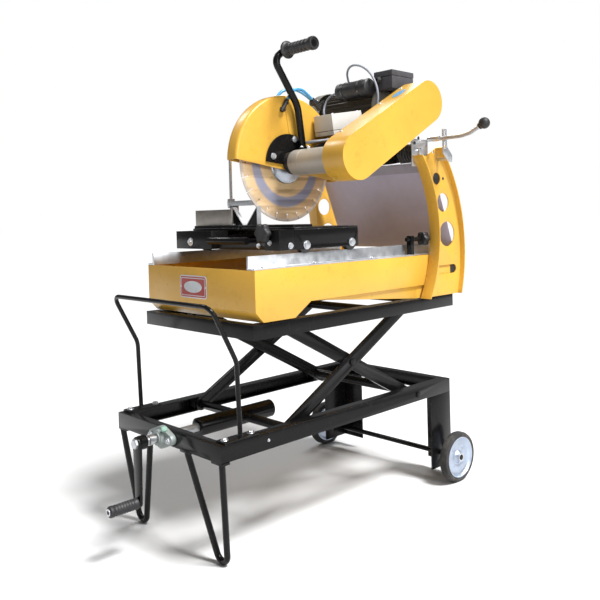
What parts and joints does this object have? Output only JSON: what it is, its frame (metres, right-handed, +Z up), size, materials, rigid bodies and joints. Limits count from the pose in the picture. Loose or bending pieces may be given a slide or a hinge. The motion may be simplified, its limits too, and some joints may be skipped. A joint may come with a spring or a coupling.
{
  "type": "masonry saw",
  "caption": "Wheeled masonry bench saw: a diamond blade under a half guard, belt driven, over a rolling cart and water tray on a crank-raised scissor stand.",
  "frame": {"origin": "middle of the footprint's bounding box, on the floor", "axes": "+X is the operator's right, +Y runs from the operator to the rear, +Z is up"},
  "size_m": [0.791, 1.151, 1.367],
  "materials": {
    "yellow_paint": "gloss paint, worn at edges",
    "black_paint": "satin black paint, scuffed",
    "zinc_steel": "zinc plated, dull",
    "bare_steel": "worn bare steel",
    "grey_housing": "worn grey enamel",
    "motor_grey": "cast and sanded",
    "black_plastic": "moulded, matte",
    "grey_plastic": "moulded, dusty",
    "screen_sheet": "thin sheet, hazed",
    "wheel_tyre": "solid rubber, scuffed",
    "blade_steel": "tinted blade steel",
    "hose_blue": "soft tube",
    "cable_grey": "sheathed cable",
    "belt_rubber": "ribbed belt",
    "spring_steel": "black spring wire",
    "plate_print": "plain enamelled plate",
    "grip_black": "ribbed hand grip"
  },
  "bodies": {
    "stand": {"lower_frame": "black_paint", "front_legs": "black_paint", "rear_legs": "black_paint", "push_handle": "black_paint", "screw_bearing": "grey_housing"},
    "left_wheel": {"wheel_left": "wheel_tyre"},
    "right_wheel": {"wheel_right": "wheel_tyre"},
    "crank": {"lead_screw": "zinc_steel", "crank_arm": "zinc_steel"},
    "crank_handle": {"crank_grip": "grip_black"},
    "inner_lift": {"inner_scissor": "black_paint"},
    "outer_lift": {"outer_scissor": "black_paint"},
    "upper_roller_pair": {"upper_rollers": "black_plastic"},
    "lower_roller_pair": {"lower_rollers": "black_plastic"},
    "yoke": {"push_yoke": "black_paint"},
    "table": {"upper_frame": "black_paint", "water_tray": "yellow_paint", "tray_plate": "plate_print", "cart_rails": "zinc_steel", "upright_left": "yellow_paint", "upright_right": "yellow_paint", "splash_screen": "screen_sheet", "pivot_shaft": "zinc_steel", "torsion_spring": "spring_steel", "lock_plate": "zinc_steel"},
    "lever": {"lock_lever": "zinc_steel"},
    "stop": {"rail_stop": "black_plastic"},
    "head": {"head_arm": "black_paint", "arbor_housing": "grey_housing", "motor_body": "black_paint", "fan_cowl": "motor_grey", "terminal_box": "black_plastic", "capacitor": "black_plastic", "switch_box": "grey_plastic", "belt_guard": "yellow_paint", "blade_guard": "yellow_paint", "hood_bracket": "black_paint", "feed_handle": "black_paint", "handle_grip": "grip_black", "hose_left": "hose_blue", "hose_right": "hose_blue", "hose_fittings": "black_plastic", "motor_cable": "cable_grey", "drop_cable": "cable_grey", "loop_cable": "cable_grey", "drive_belt": "belt_rubber"},
    "arbor": {"arbor_shaft": "bare_steel", "blade_flanges": "bare_steel", "saw_blade": "blade_steel"},
    "motor_rotor": {"motor_shaft": "bare_steel"},
    "cart": {"cart_frame": "black_paint", "cart_deck": "black_paint", "cart_pull_bar": "zinc_steel", "pipe_cradle": "black_paint", "fence": "bare_steel", "clamp_post": "zinc_steel"},
    "front_cart_rollers": {"cart_rollers_front": "black_plastic"},
    "rear_cart_rollers": {"cart_rollers_rear": "black_plastic"},
    "clamp": {"clamp_arm": "zinc_steel"},
    "cart_knob": {"cart_lock": "black_plastic"}
  },
  "joints": [
    {"name": "left_wheel_spin", "type": "hinge", "parent": "stand", "child": "left_wheel", "pos_m": [-0.3775, 0.4646, 0.0775], "axis": [1, 0, 0], "continuous": true},
    {"name": "right_wheel_spin", "type": "hinge", "parent": "stand", "child": "right_wheel", "pos_m": [0.2145, 0.4646, 0.0775], "axis": [1, 0, 0], "continuous": true},
    {"name": "crank_turn", "type": "hinge", "parent": "stand", "child": "crank", "pos_m": [-0.0815, -0.4094, 0.291], "axis": [0, 1, 0], "continuous": true},
    {"name": "crank_handle_spin", "type": "hinge", "parent": "crank", "child": "crank_handle", "pos_m": [-0.0815, -0.5294, 0.141], "axis": [0, 1, 0], "continuous": true},
    {"name": "lift", "type": "hinge", "parent": "stand", "child": "inner_lift", "pos_m": [-0.0815, 0.3406, 0.291], "axis": [-1, 0, 0], "range_deg": [-16, 16]},
    {"name": "outer_lift_turn", "type": "hinge", "parent": "inner_lift", "child": "outer_lift", "pos_m": [-0.0815, 0.0906, 0.4295], "axis": [-1, 0, 0], "range_deg": [-33, 33]},
    {"name": "table_level", "type": "hinge", "parent": "outer_lift", "child": "table", "pos_m": [-0.0815, 0.3406, 0.568], "axis": [-1, 0, 0], "range_deg": [-17, 17]},
    {"name": "yoke_level", "type": "hinge", "parent": "outer_lift", "child": "yoke", "pos_m": [-0.0815, -0.1594, 0.291], "axis": [-1, 0, 0], "range_deg": [-17, 17]},
    {"name": "upper_roller_spin", "type": "hinge", "parent": "inner_lift", "child": "upper_roller_pair", "pos_m": [-0.0815, -0.1594, 0.568], "axis": [1, 0, 0], "continuous": true},
    {"name": "lower_roller_spin", "type": "hinge", "parent": "yoke", "child": "lower_roller_pair", "pos_m": [-0.0815, -0.1594, 0.291], "axis": [1, 0, 0], "continuous": true},
    {"name": "head_tilt", "type": "hinge", "parent": "table", "child": "head", "pos_m": [-0.0815, 0.3706, 1.042], "axis": [1, 0, 0], "range_deg": [-20, 5]},
    {"name": "lock_lever_turn", "type": "hinge", "parent": "table", "child": "lever", "pos_m": [0.2165, 0.4106, 1.084], "axis": [1, 0, 0], "range_deg": [-25, 25]},
    {"name": "stop_turn", "type": "hinge", "parent": "table", "child": "stop", "pos_m": [0.1565, 0.3506, 0.773], "axis": [0, 1, 0], "continuous": true},
    {"name": "blade_spin", "type": "hinge", "parent": "head", "child": "arbor", "pos_m": [-0.0815, 0.0346, 1.013], "axis": [1, 0, 0], "continuous": true},
    {"name": "motor_spin", "type": "hinge", "parent": "head", "child": "motor_rotor", "pos_m": [-0.0815, 0.3556, 1.193], "axis": [1, 0, 0], "continuous": true},
    {"name": "cart_slide", "type": "slide", "parent": "table", "child": "cart", "axis": [0, 1, 0], "range_m": [-0.075, 0.165]},
    {"name": "front_rollers_roll", "type": "hinge", "parent": "cart", "child": "front_cart_rollers", "pos_m": [-0.0815, -0.1044, 0.777], "axis": [1, 0, 0], "range_deg": [-475, 217]},
    {"name": "rear_rollers_roll", "type": "hinge", "parent": "cart", "child": "rear_cart_rollers", "pos_m": [-0.0815, 0.0706, 0.777], "axis": [1, 0, 0], "range_deg": [-475, 217]},
    {"name": "clamp_slide", "type": "slide", "parent": "cart", "child": "clamp", "axis": [0, 0, 1], "range_m": [-0.03, 0.01]},
    {"name": "cart_knob_turn", "type": "hinge", "parent": "cart", "child": "cart_knob", "pos_m": [0.1029, -0.2154, 0.8114], "axis": [0, 1, 0], "continuous": true}
  ],
  "couplings": [
    {"joint": "outer_lift_turn", "follows": "lift", "ratio": -2},
    {"joint": "table_level", "follows": "lift", "ratio": 1},
    {"joint": "yoke_level", "follows": "lift", "ratio": 1},
    {"joint": "motor_spin", "follows": "blade_spin", "ratio": 0.86364},
    {"joint": "front_rollers_roll", "follows": "cart_slide", "rad_per_m": -50},
    {"joint": "rear_rollers_roll", "follows": "cart_slide", "rad_per_m": -50}
  ]
}
